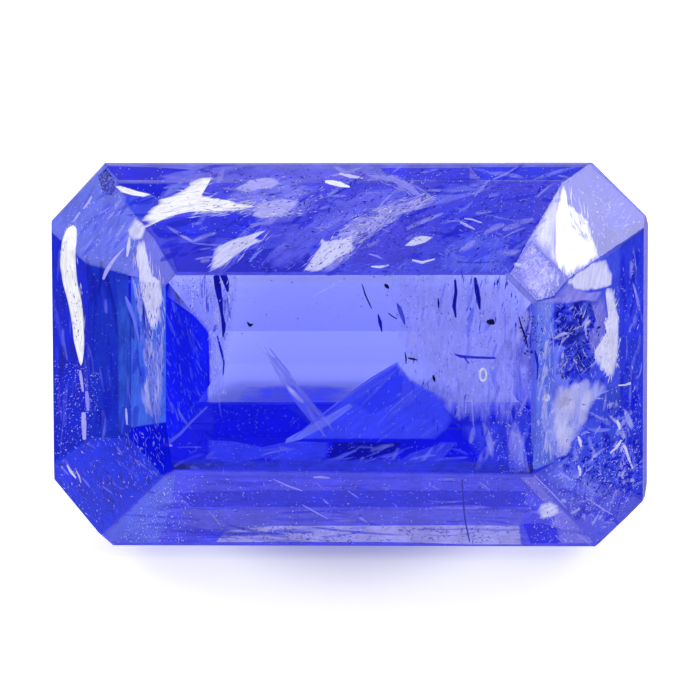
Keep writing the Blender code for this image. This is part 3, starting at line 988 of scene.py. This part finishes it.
fractures = {
    # outline, depth, tint, grain
    "wing": ([(141, 221), (150, 209), (160, 199), (172, 195.5), (184, 190), (190, 181), (205, 175.5),
              (212.5, 176.5), (204, 185), (196.5, 193.5), (218, 198.5), (240, 202.5), (258, 207.2),
              (239, 210.6), (211, 211.6), (189, 212), (176, 215), (164, 218.7), (151, 224.5), (145, 228)],
             0.05, "white", 8.0),
    "crescent": ([(115, 186), (121, 186), (138, 191.5), (151.5, 194.5), (145, 197), (132, 195.4),
                  (122, 192.5)], 0.05, "white", -14.0),
    "swoosh": ([(209, 271), (212, 256), (218, 246), (232, 240), (250, 234), (268, 229), (255, 238),
                (263, 240), (247, 248), (234, 256), (225, 265), (214, 271)], 0.06, "silver", 35.0),
    "veilFoot": ([(303, 271), (312, 258), (319, 246), (321, 239.5), (340, 239.5), (352, 235), (357, 247),
                  (352, 252), (339, 258), (330, 265), (318, 271.5)], 0.06, "silver", 40.0),
    "leaf": ([(404, 245.7), (414, 237), (422, 235), (434, 237), (425, 242.5), (413, 246)],
             0.05, "silver", 15.0),
    "petal": ([(563, 182), (558.5, 194), (555.5, 215), (554.6, 241), (554.6, 264), (567.7, 276.4),
               (583, 267), (599, 257.4), (595, 243.7), (590.5, 226.7), (584.7, 216), (575.5, 209),
               (567, 202), (565.7, 189)], 0.05, "white", 85.0),
    "petalFoot": ([(568, 279), (582, 269.5), (599, 259), (607, 258), (612, 275), (613, 285), (600, 289),
                   (585, 291), (572, 288), (565, 283)], 0.05, "silver", 80.0),
    "rightArc": ([(605, 288), (613.5, 288), (616.7, 306), (619, 326), (619.5, 348), (616.7, 366),
                  (612.5, 381),
                  (607, 376), (596, 366), (594, 352), (601, 341), (606, 332), (604, 322), (611, 312),
                  (612, 300)], 0.05, "silver", 85.0),
    "swirl": ([(233, 189), (243, 184), (250, 180), (262, 178), (275, 177), (281, 183), (272, 188),
               (258, 190), (246, 193)], 0.07, "lilac", 10.0),
    "cloud": ([(252, 216), (257, 208), (266, 201), (278, 198), (300, 201), (292, 211), (280, 217),
               (262, 219)], 0.07, "lilac", 12.0),
    "innerBand": ([(132, 239), (140, 238), (147, 262), (152, 276), (161, 280), (162, 300), (159, 322),
                   (156, 334), (151, 330), (147, 318), (144, 306), (141, 292), (138, 274), (134, 258)],
                  0.05, "silver", 86.0),
}

slivers = {
    # path of x, y and half width, then depth and tint
    "leftStreak": ([(69.5, 224, 3), (69, 232, 5.5), (68.5, 245, 7.2), (67.5, 262, 8.2), (69.5, 280, 7.5),
                    (74.5, 300, 7.2), (77.5, 320, 6.3), (79, 340, 5.5), (80.5, 353, 3.5), (81, 366, 1)],
                   0.05, "white"),
    "leftDashA": ([(80, 370, 1), (81, 378, 1.6), (83, 392, 1)], 0.05, "lilac"),
    "leftDashB": ([(86.5, 391, 1.5), (87.5, 400, 2.4), (88, 411, 1.4)], 0.05, "pale"),
    "leftDashC": ([(83.5, 412, 2.2), (84, 425, 2.8), (84.5, 440, 1.8)], 0.05, "lilac"),
    "bandSliver": ([(129.5, 237, 1.0), (128.5, 246, 2.0), (127, 257, 0.8)], 0.04, "silver"),
    "innerSliverA": ([(125, 296, 0.8), (129, 305, 2.4), (134, 318, 2.0), (139, 341, 0.6)], 0.06, "sky"),
    "innerSliverB": ([(133, 279, 1.0), (137, 298, 2.0), (141, 322, 0.8)], 0.06, "pale"),
    "cornerSliver": ([(101, 280, 1.2), (107, 270, 2.2), (115, 258, 1.4), (124, 248, 0.5)], 0.05, "lilac"),
    "brightShape": ([(325, 181.5, 1.2), (331, 182.5, 2.4), (340, 184.5, 2.8), (350, 187, 1)], 0.06, "white"),
    "streakA": ([(339, 173.5, 0.8), (350, 176, 2), (363, 178, 0.8)], 0.06, "silver"),
    "sliverA": ([(249, 262, 0.8), (255, 255, 1.8), (263, 249, 0.5)], 0.06, "sky"),
    "sliverB": ([(371, 266.5, 0.6), (380, 267, 1.4), (389, 265, 0.6)], 0.06, "silver"),
    "sliverC": ([(369, 254, 0.6), (377, 256, 1.3), (386, 261, 0.5)], 0.06, "pale"),
    "sliverD": ([(412, 260, 0.8), (422, 262.5, 1.6), (435, 259, 0.6)], 0.06, "silver"),
    "sliverE": ([(460, 222, 1.0), (466, 225, 1.6), (475, 229.5, 0.6)], 0.06, "lilac"),
    "sliverF": ([(464, 218.5, 0.6), (472, 219.5, 1.0), (482, 223, 0.8)], 0.06, "lilac"),
    "branchA": ([(610, 453.5, 0.8), (617, 446.5, 1.6), (622, 440, 1.3)], 0.05, "silver"),
    "branchB": ([(621, 441, 0.8), (626, 449, 1.4), (628.5, 458, 1.2), (633, 469, 0.6)], 0.05, "silver"),
    "branchD": ([(617, 420, 1.0), (619, 425, 1.8), (620, 430, 0.8)], 0.05, "silver"),
    "branchE": ([(578, 436, 0.8), (580, 441, 1.7), (581, 447, 0.8)], 0.05, "silver"),
    "branchF": ([(578.5, 466, 0.9), (579.5, 470, 1.9), (580, 476, 0.9)], 0.05, "silver"),
    "edgeGlint": ([(618, 385.5, 0.7), (625, 385, 0.9), (631, 383, 1.6)], 0.05, "silver"),
    "upperArc": ([(370, 176, 1.5), (390, 178, 2.6), (407, 185, 2.8), (421, 195, 1.5)], 0.07, "lavender"),
    # painted reflections: this sliver and the next are the pavilion's mitre line and its glint, seen through
    # the crown
    "mitre": ([(157, 450, 1.0), (168, 443, 2.2), (180, 434, 1.6), (192, 421, 1.4), (208, 406, 1.0)],
              0.30, "mid"),
    "mitreGlint": ([(163, 443, 0.8), (167, 445.5, 1.6), (171, 446, 0.8)], 0.25, "lavender"),
    "lightLine": ([(312, 297, 0.3), (330, 287, 0.6), (344, 279, 0.3)], 0.3, "lilac"),
    "fanEdge": ([(398, 362, 0.5), (370, 379, 0.9), (345, 397, 1.0), (322, 415, 1.1), (292, 439, 0.7)],
                0.4, "mid"),
    "mitreRight": ([(534, 475, 0.4), (552, 493, 0.7), (567, 509, 0.4)], 0.04, "lavender"),
    "ridgeRight": ([(585, 497, 0.5), (600, 507, 0.9), (613, 515, 0.5)], 0.04, "lavender"),
    "scratchA": ([(273, 479, 0.4), (288, 486, 0.9), (303, 491, 0.4)], 0.03, "lavender"),
    "scratchB": ([(302, 504.5, 0.4), (315, 512, 0.8), (328, 519, 0.4)], 0.03, "lavender"),
    "patchEdge": ([(313, 477.5, 0.6), (320, 477, 1.4), (330, 478, 0.6)], 0.04, "lavender"),
    "dashDown": ([(126, 408, 0.7), (126.5, 416, 1.3), (127, 425, 0.7)], 0.05, "lilac"),
    "bottomFleck": ([(67, 465, 0.7), (71, 472, 1.5), (76, 478, 0.7)], 0.05, "silver"),
    "bottomFleckB": ([(76, 470, 0.5), (79, 476, 1.0), (81, 483, 0.5)], 0.05, "lilac"),
    "chipDustA": ([(92, 196, 0.9), (88, 203, 1.2), (83, 209, 0.8)], 0.04, "lilac"),
    "chipDustB": ([(80, 212, 0.7), (76, 218, 1.1), (73, 222, 0.6)], 0.04, "lilac"),
}


def makeFractures():
    parts = [lensPart(outline, depth, tints[tint], 1.0, grain, thick=0.02, rings=7)
             for outline, depth, tint, grain in fractures.values()]
    parts += [ribbonPart(path, depth, tints[tint], thick=0.015) for path, depth, tint in slivers.values()]
    makePiece("whiteFractures", parts, veilMaterial("mirrorFracture", fractureFinish))


makeFractures()

# Clouds of bright grains.
brightGrains = {
    # outline, count, half length, half width, depth, angle, spread, the two tints mixed, seed
    "wingFeathers": ([(146, 226), (150, 208), (188, 180), (214, 174), (206, 190), (262, 204), (262, 214),
                      (170, 219)], 60, (3.0, 12.0), (0.2, 0.5), (0.02, 0.07), 12, 8, "silver", "snow", 41),
    "wingPoints": ([(205, 196), (280, 204), (300, 212), (262, 220), (205, 214)], 110,
                   (2.0, 9.0), (0.25, 0.6), (0.02, 0.09), 10, 14, "lavender", "snow", 42),
    "swooshFeathers": ([(207, 272), (214, 243), (270, 226), (268, 244), (222, 272)], 46,
                       (3.0, 10.0), (0.2, 0.5), (0.02, 0.08), 36, 8, "lilac", "snow", 43),
    "footFeathers": ([(300, 272), (322, 238), (362, 228), (360, 252), (322, 272)], 56,
                     (2.0, 8.0), (0.2, 0.5), (0.02, 0.08), 42, 14, "lilac", "snow", 44),
    "diagonalFeathers": ([(330, 240), (362, 210), (420, 192), (440, 198), (398, 220), (362, 244)], 170,
                         (2.0, 9.0), (0.25, 0.6), (0.02, 0.10), 27, 16, "lavender", "snow", 45),
    "arcFeathers": ([(360, 172), (400, 176), (430, 196), (410, 194), (380, 182)], 70,
                    (2.0, 8.0), (0.25, 0.6), (0.02, 0.10), -22, 12, "pale", "lilac", 46),
    "cloudFeathers": ([(222, 198), (236, 180), (300, 174), (326, 190), (316, 214), (256, 224)], 130,
                      (0.6, 3.6), (0.2, 0.55), (0.02, 0.10), 14, 28, "lavender", "snow", 47),
    "petalFeathers": ([(556, 196), (566, 186), (590, 215), (600, 256), (570, 278), (553, 262)], 60,
                      (3.0, 14.0), (0.2, 0.5), (0.02, 0.05), 97, 7, "silver", "white", 48),
    "petalShadow": ([(570, 208), (588, 222), (594, 244), (584, 240), (572, 226)], 40,
                    (3.0, 9.0), (0.2, 0.5), (0.015, 0.04), 118, 10, "lavender", "lilac", 49),
    "streakFeathers": ([(60, 226), (76, 224), (86, 320), (82, 366), (74, 340), (60, 262)], 60,
                       (2.0, 10.0), (0.2, 0.5), (0.02, 0.05), 96, 5, "silver", "white", 50),
    "bandFeathers": ([(132, 240), (142, 238), (164, 280), (165, 340), (154, 372), (142, 330), (134, 280)], 90,
                     (2.0, 12.0), (0.2, 0.5), (0.02, 0.07), 96, 6, "lilac", "snow", 51),
    "bandTail": ([(146, 340), (163, 330), (164, 412), (148, 416)], 110,
                 (2.0, 9.0), (0.25, 0.6), (0.02, 0.09), 96, 8, "sky", "lilac", 52),
    "arcEdge": ([(594, 350), (606, 330), (604, 318), (614, 288), (621, 330), (618, 366), (610, 384)], 120,
                (1.5, 7.0), (0.25, 0.7), (0.02, 0.07), 85, 22, "silver", "white", 53),
    "topRun": ([(200, 168), (575, 168), (530, 238), (500, 272), (250, 272), (230, 205)], 1300,
               (0.5, 3.2), (0.2, 0.55), (0.02, 0.12), 14, 28, "mid", "lavender", 1),
    "topDust": ([(110, 168), (585, 168), (530, 238), (150, 238)], 420,
                (0.35, 0.8), (0.3, 0.6), (0.02, 0.10), 0, 90, "lavender", "snow", 2),
    "farRays": ([(440, 250), (470, 228), (512, 236), (508, 272), (440, 272)], 150,
                (1.5, 7.0), (0.2, 0.5), (0.02, 0.10), 65, 35, "sky", "lavender", 54),
    "leftCrown": ([(54, 236), (165, 286), (164, 422), (55, 462)], 420,
                  (0.4, 1.6), (0.2, 0.45), (0.02, 0.10), 80, 35, "mid", "lavender", 4),
    "leftLow": ([(55, 360), (100, 370), (100, 438), (55, 460)], 260,
                (0.35, 1.1), (0.3, 0.6), (0.02, 0.10), 70, 60, "pale", "snow", 5),
    "lowerLeftCorner": ([(56, 466), (92, 440), (160, 428), (160, 470), (100, 530), (56, 482)], 190,
                        (0.4, 2.2), (0.2, 0.5), (0.02, 0.12), -58, 24, "mid", "snow", 6),
    "cornerDown": ([(124, 430), (163, 426), (168, 466), (140, 490), (126, 470)], 110,
                   (1.0, 5.0), (0.2, 0.5), (0.02, 0.12), -78, 14, "mid", "pale", 55),
    "deepLeft": ([(166, 298), (206, 332), (207, 405), (166, 445)], 220,
                 (0.8, 5.0), (0.2, 0.45), (0.10, 0.45), -72, 12, "royal", "sky", 7),
    "arrowhead": ([(213, 405), (288, 405), (311, 425), (260, 440), (213, 440)], 110,
                  (0.4, 1.8), (0.2, 0.5), (0.15, 0.55), 60, 40, "blue", "sky", 8),
    "bottomCrown": ([(170, 476), (532, 478), (592, 544), (112, 544)], 620,
                    (0.4, 1.5), (0.22, 0.5), (0.02, 0.10), 20, 60, "mid", "silver", 9),
    "bottomLeftDust": ([(164, 478), (200, 476), (186, 543), (112, 543)], 240,
                       (0.35, 1.0), (0.25, 0.5), (0.02, 0.10), 20, 80, "pale", "white", 56),
    "lowerRight": ([(486, 425), (536, 405), (550, 440), (600, 440), (636, 450), (640, 496), (600, 512),
                    (560, 480), (536, 468), (500, 474)], 700, (0.4, 1.8), (0.2, 0.55), (0.02, 0.10), 65, 40,
                   "mid", "silver", 10),
    "lowerRightFine": ([(590, 385), (640, 385), (640, 496), (560, 470), (584, 440)], 220,
                       (0.5, 2.2), (0.2, 0.42), (0.02, 0.10), 60, 45, "sky", "snow", 57),
    "rightDark": ([(556, 304), (600, 304), (606, 345), (598, 380), (556, 380)], 190,
                  (0.8, 6.0), (0.2, 0.45), (0.02, 0.10), 62, 45, "mid", "silver", 11),
    "rightOut": ([(616, 262), (641, 244), (641, 480), (622, 480)], 200,
                 (0.5, 2.6), (0.2, 0.5), (0.02, 0.10), 80, 25, "mid", "silver", 12),
    "rightStreaks": ([(537, 302), (553, 300), (553, 460), (537, 464)], 220,
                     (1.0, 5.0), (0.2, 0.6), (0.02, 0.10), 85, 14, "sky", "silver", 13),
    "rightCorner": ([(590, 170), (640, 218), (640, 226), (596, 252), (570, 205)], 130,
                    (0.5, 1.8), (0.22, 0.5), (0.02, 0.08), 20, 80, "lilac", "white", 14),
    "cornerRough": ([(514, 272), (530, 242), (566, 278), (552, 296), (538, 300)], 260,
                    (0.5, 3.0), (0.22, 0.6), (0.02, 0.10), 50, 50, "mid", "silver", 58),
    "brCorner": ([(534, 478), (560, 468), (632, 500), (596, 543), (540, 543), (520, 490)], 440,
                 (0.45, 1.8), (0.25, 0.6), (0.02, 0.10), 40, 60, "mid", "silver", 15),
    "mistGrains": ([(395, 276), (512, 275), (535, 300), (535, 415), (460, 423), (405, 365)], 420,
                   (0.4, 1.6), (0.2, 0.42), (0.1, 0.40), 85, 40, "pale", "snow", 16),
    "windowLeft": ([(170, 276), (240, 276), (226, 400), (210, 400), (208, 332)], 220,
                   (0.6, 3.0), (0.2, 0.5), (0.1, 0.4), 85, 20, "pale", "snow", 17),
    "lowBand": ([(180, 442), (480, 442), (480, 472), (175, 472)], 300,
                (0.5, 2.0), (0.22, 0.5), (0.15, 0.5), 50, 50, "blue", "pale", 18),
    "fanFlecks": ([(330, 416), (396, 366), (450, 405), (452, 422), (430, 436), (310, 436)], 80,
                  (0.5, 2.6), (0.2, 0.5), (0.1, 0.5), 50, 30, "sky", "pale", 59),
    "leftTop": ([(104, 172), (140, 224), (130, 272), (88, 260), (56, 230)], 190,
                (0.4, 1.8), (0.22, 0.5), (0.02, 0.10), 50, 35, "pale", "silver", 19),
}

brightFinish = {"glow": 0.72, "body": 0.4, "roughness": 0.5, "shine": 0.2, "patches": 9000.0, "dim": 0.7}


def makeBrightGrains():
    parts = [grainPart(row) for row in brightGrains.values()]
    makePiece("brightGrains", parts, grainMaterial("brightGrain", brightFinish), merge=False)


makeBrightGrains()

# Dark mineral grains and growth tubes, thickest at the right of the table.
darkGrains = {
    # the same fields as the bright grains
    "tableRight": ([(370, 275), (512, 275), (535, 300), (535, 400), (500, 420), (400, 350)], 170,
                   (0.4, 1.4), (0.3, 0.7), (0.05, 0.4), 60, 60, "navy", "royal", 31),
    "tableRightFaint": ([(395, 276), (512, 275), (535, 300), (535, 418), (460, 423), (400, 360)], 130,
                        (0.8, 4.0), (0.2, 0.4), (0.1, 0.45), 80, 25, "blue", "sky", 32),
    "tableLeft": ([(170, 277), (240, 277), (228, 335), (205, 330), (172, 296)], 120,
                  (0.4, 1.1), (0.3, 0.7), (0.05, 0.4), 80, 40, "ink", "deep", 60),
    "middle": ([(240, 277), (370, 277), (370, 350), (240, 350)], 14,
               (0.5, 1.2), (0.35, 0.7), (0.05, 0.4), 30, 60, "ink", "deep", 33),
    "cluster": ([(518, 316), (544, 316), (544, 354), (520, 354)], 60,
                (0.7, 2.2), (0.4, 1.0), (0.02, 0.10), 70, 50, "ink", "deep", 34),
    "tubesRight": ([(455, 276), (530, 276), (530, 330), (470, 330)], 34,
                   (2.0, 8.0), (0.3, 0.9), (0.1, 0.4), 87, 7, "deep", "blue", 35),
    "tubesLow": ([(400, 345), (470, 345), (470, 440), (400, 440)], 24,
                 (2.0, 8.0), (0.25, 0.6), (0.1, 0.45), 86, 8, "royal", "blue", 36),
    "bottomPits": ([(216, 527), (520, 527), (520, 544), (216, 544)], 210,
                   (0.5, 4.0), (0.25, 0.55), (0.02, 0.08), 10, 55, "navy", "royal", 37),
    "bottomShade": ([(180, 476), (530, 478), (580, 540), (120, 540)], 420,
                    (0.5, 2.5), (0.25, 0.6), (0.02, 0.09), 5, 50, "navy", "royal", 61),
    "topPits": ([(300, 190), (440, 185), (420, 240), (320, 265)], 220,
                (0.5, 2.4), (0.25, 0.6), (0.02, 0.08), 30, 40, "navy", "royal", 38),
    "topShade": ([(200, 168), (575, 168), (530, 238), (505, 272), (230, 272)], 800,
                 (0.6, 4.0), (0.25, 0.7), (0.02, 0.10), 16, 28, "navy", "royal", 62),
    "rightDark": ([(556, 306), (575, 301), (600, 308), (598, 356), (588, 374), (560, 374)], 120,
                  (1.0, 4.0), (0.5, 1.6), (0.06, 0.12), 68, 35, "navy", "deep", 39),
    "lowerRightDark": ([(560, 460), (584, 440), (640, 440), (640, 496), (610, 500), (570, 475)], 180,
                       (1.0, 4.0), (0.5, 1.5), (0.03, 0.13), 55, 45, "deep", "royal", 63),
    "streakDashes": ([(130, 245), (164, 285), (163, 410), (146, 400)], 130,
                     (0.8, 5.0), (0.2, 0.5), (0.02, 0.05), 94, 9, "royal", "mid", 40),
    "streakSpots": ([(62, 240), (76, 240), (84, 330), (78, 352), (64, 280)], 46,
                    (0.5, 2.2), (0.2, 0.5), (0.015, 0.04), 94, 14, "royal", "mid", 64),
    "cornerDust": ([(56, 466), (92, 440), (160, 430), (160, 470), (100, 530), (56, 482)], 110,
                   (1.0, 5.0), (0.4, 1.2), (0.02, 0.12), -58, 18, "navy", "royal", 65),
    "chip": ([(98, 176), (106, 168), (116, 184), (112, 196), (103, 192)], 120,
             (0.8, 2.6), (0.5, 1.3), (0.015, 0.08), 60, 50, "navy", "royal", 66),
    "cornerRough": ([(516, 272), (530, 244), (566, 278), (552, 296), (538, 300)], 130,
                    (0.5, 2.4), (0.3, 0.7), (0.02, 0.09), 50, 50, "navy", "blue", 67),
    "wingPits": ([(160, 203), (200, 194), (230, 204), (180, 211)], 10,
                 (0.5, 1.2), (0.3, 0.5), (0.015, 0.03), 30, 50, "deep", "mid", 68),
    "cloudPits": ([(548, 400), (590, 385), (580, 436), (556, 452)], 18,
                  (0.5, 3.0), (0.25, 0.6), (0.015, 0.04), 80, 35, "blue", "sky", 69),
}

darkRibbons = {
    # path of x, y and half width, then depth and tint
    "crystalA": ([(486.5, 321, 1.0), (489, 322, 2.6), (492, 322, 3.0), (494.5, 324, 1.2)], 0.2, "ink"),
    "crystalB": ([(384.5, 284, 0.8), (386.5, 286, 2.0), (389, 288.5, 0.9)], 0.2, "ink"),
    "crystalC": ([(247, 322, 0.6), (250, 325.5, 1.6), (253, 324, 0.6)], 0.2, "ink"),
    "crystalD": ([(438, 298, 0.5), (438.5, 303, 1.1), (438.5, 308, 0.5)], 0.2, "navy"),
    "crystalE": ([(433, 375, 0.6), (434, 378.5, 1.6), (435, 382, 0.6)], 0.2, "ink"),
    "crystalF": ([(408, 358, 0.8), (413, 359, 1.2), (417, 360, 0.5)], 0.2, "ink"),
    "tubeLeft": ([(216, 274, 3.0), (218, 288, 3.4), (220, 300, 2.4), (222, 315, 1.4), (224, 326, 2.2),
                  (223, 338, 0.6)], 0.2, "deep"),
    "tubeLeftB": ([(223, 274, 3.5), (226, 282, 3.0), (228, 292, 1.0)], 0.22, "deep"),
    "tubeLeftC": ([(217, 335, 0.5), (221, 350, 1.3), (224, 362, 0.9), (223, 376, 0.5)], 0.2, "royal"),
    "tubeMidA": ([(362, 284, 0.5), (365, 294, 0.8), (369, 303, 0.7), (372, 309, 0.4)], 0.2, "navy"),
    "tubeMidB": ([(378, 314, 0.5), (380, 322, 1.9), (382, 332, 0.6)], 0.2, "deep"),
    "blueLeaf": ([(397, 303, 0.6), (400, 310, 2.2), (403, 318, 2.0), (405, 325, 0.6)], 0.2, "mid"),
    "wire": ([(388, 313, 0.5), (392, 316, 0.7), (397, 319, 0.5)], 0.2, "navy"),
    "tubeRightA": ([(455, 279, 1.0), (456, 292, 1.6), (454, 306, 2.0), (456, 318, 0.8)], 0.2, "deep"),
    "tubeRightB": ([(475, 277, 1.2), (477, 290, 2.6), (479, 303, 1.8), (480, 310, 0.6)], 0.2, "deep"),
    "tubeRightC": ([(405, 352, 0.4), (406, 358, 0.9), (406, 364, 0.4)], 0.2, "ink"),
    "branching": ([(518.6, 316, 0.5), (521, 325, 0.9), (525, 336, 1.1), (528, 348, 0.5)], 0.2, "navy"),
    "branchingB": ([(533.5, 318, 0.4), (534, 326, 0.9), (535.5, 344, 0.8)], 0.2, "navy"),
    "flatNeedle": ([(454, 354, 0.6), (461, 356.5, 1.6), (475, 357.5, 1.3), (496, 358, 1.2)], 0.2, "blue"),
    "needleSpur": ([(464, 357, 0.8), (467, 361, 0.6), (469, 364, 0.3)], 0.2, "royal"),
    "columnDark": ([(535, 350, 0.6), (537, 358, 1.4), (538, 366, 1.0), (537, 380, 0.5)], 0.05, "royal"),
    "crackLine": ([(462, 478, 0.5), (463, 500, 0.8), (465, 520, 0.8), (470, 543, 0.6)], 0.05, "deep"),
}

darkFinish = {"glow": 0.55, "body": 0.5, "roughness": 0.35, "shine": 0.2, "patches": 6000.0, "dim": 0.6}


def makeDarkCrystals():
    parts = [grainPart(row) for row in darkGrains.values()]
    parts += [ribbonPart(path, depth, tints[tint], thick=0.04) for path, depth, tint in darkRibbons.values()]
    makePiece("darkCrystals", parts, grainMaterial("darkMineral", darkFinish))


makeDarkCrystals()

# A small ring-shaped crystal under the table and a rosette beside it.
brightRings = {
    # x, y, half width, half height, stoutness, depth, tint
    "ring": (483.0, 374.8, 3.2, 6.0, 1.1, 0.2, "snow"),
    "rosette": (546.7, 397.7, 2.0, 2.6, 1.4, 0.06, "silver"),
}


# A closed ring: a small round section carried along an ellipse.
def ringPart(x, y, halfWide, halfTall, stout, depth, tint, steps=32, around=8):
    turn = np.linspace(0, 2 * np.pi, steps + 1)
    path = np.stack([x + halfWide * np.cos(turn), y + halfTall * np.sin(turn)], -1)
    side = np.stack([np.cos(turn), np.sin(turn)], -1)
    angle = np.linspace(0, 2 * np.pi, around, endpoint=False)
    pixels = path[:, None, :] + side[:, None, :] * (stout * np.cos(angle))[None, :, None]
    sink = np.broadcast_to(depth + stout * picture["pixel"] * np.sin(angle), pixels.shape[:2])
    points = seenPlace(pixels.reshape(-1, 2), sink.reshape(-1), (x, y)).reshape(*pixels.shape[:2], 3)
    return gridPart(points, pixels * picture["pixel"], 0.3, 1.0, tint)


def makeBrightRings():
    parts = [ringPart(*form, tints[tint]) for *form, tint in brightRings.values()]
    makePiece("brightRings", parts, grainMaterial("ringCrystal", brightFinish))


makeBrightRings()

scene = bpy.context.scene
scene.view_settings.view_transform = "Standard"
scene.cycles.max_bounces = 14
scene.cycles.transmission_bounces = 14
scene.cycles.glossy_bounces = 8
scene.cycles.diffuse_bounces = 1
scene.cycles.transparent_max_bounces = 10
scene.cycles.use_denoising = True
